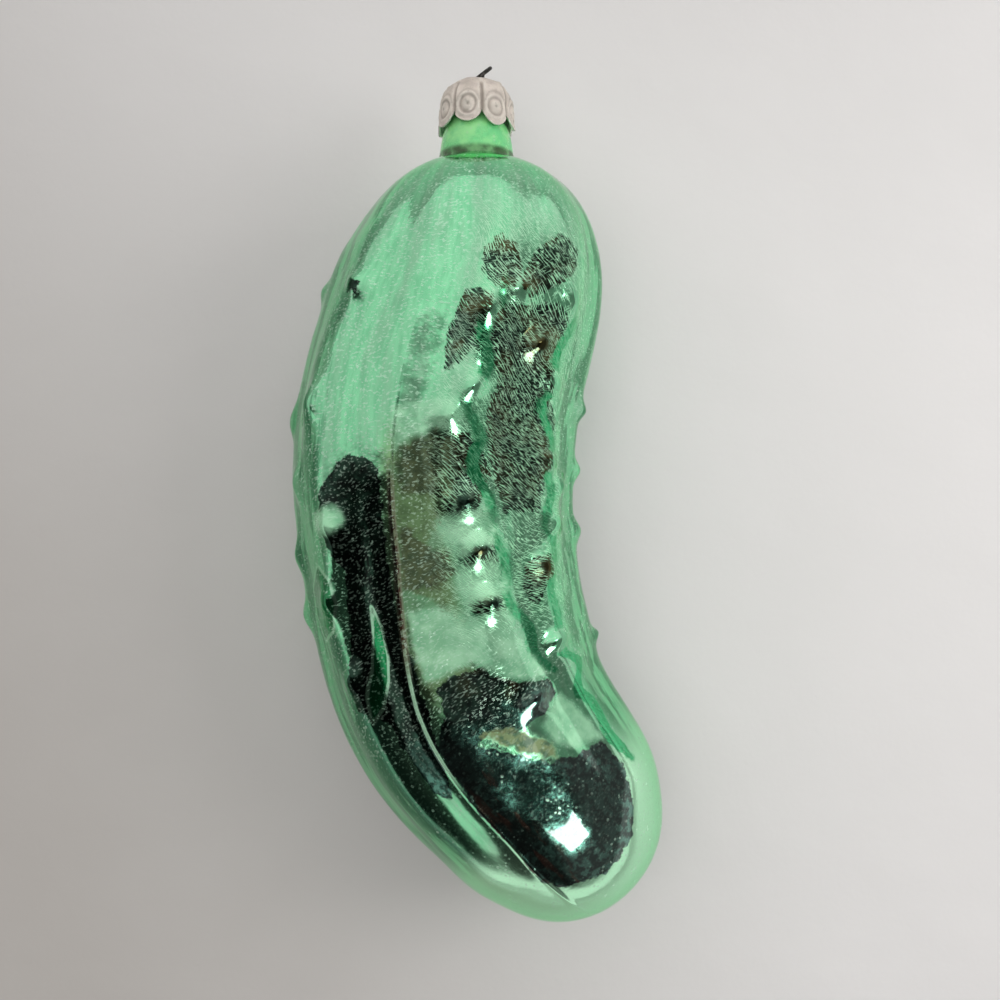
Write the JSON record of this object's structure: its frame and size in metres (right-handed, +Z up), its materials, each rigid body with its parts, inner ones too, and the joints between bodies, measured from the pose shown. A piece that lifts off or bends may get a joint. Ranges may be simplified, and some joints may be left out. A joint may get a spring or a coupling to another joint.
{
  "type": "pickle ornament",
  "caption": "Hollow blown-glass pickle ornament, silvered and green, with ribs and warts, an open neck, a petalled metal cap and a sprung wire hanging loop.",
  "frame": {"origin": "middle of the bounding box in plan, at the lowest point, where the ornament rests on its side on a flat surface", "axes": "+Y along the neck towards the cap and hanging loop, +Z up from the surface it lies on, +X the side that the blossom end bends to"},
  "size_m": [0.05, 0.1148, 0.0378],
  "materials": {
    "silvered_green_glass": "silvered inside, green lacquer, glossy",
    "tin_cap": "aged, dull silver grey",
    "dark_wire": "dark spring wire"
  },
  "bodies": {
    "pickle": {"glass_pickle": "silvered_green_glass"},
    "cap": {"cap": "tin_cap"},
    "hanger": {"wire_hanger": "dark_wire"}
  },
  "joints": [
    {"name": "cap_pull", "type": "slide", "parent": "pickle", "child": "cap", "axis": [0, 1, 0], "range_m": [0, 0.018]},
    {"name": "hanger_slide", "type": "slide", "parent": "cap", "child": "hanger", "axis": [0, 1, 0], "range_m": [0, 0.005]}
  ]
}
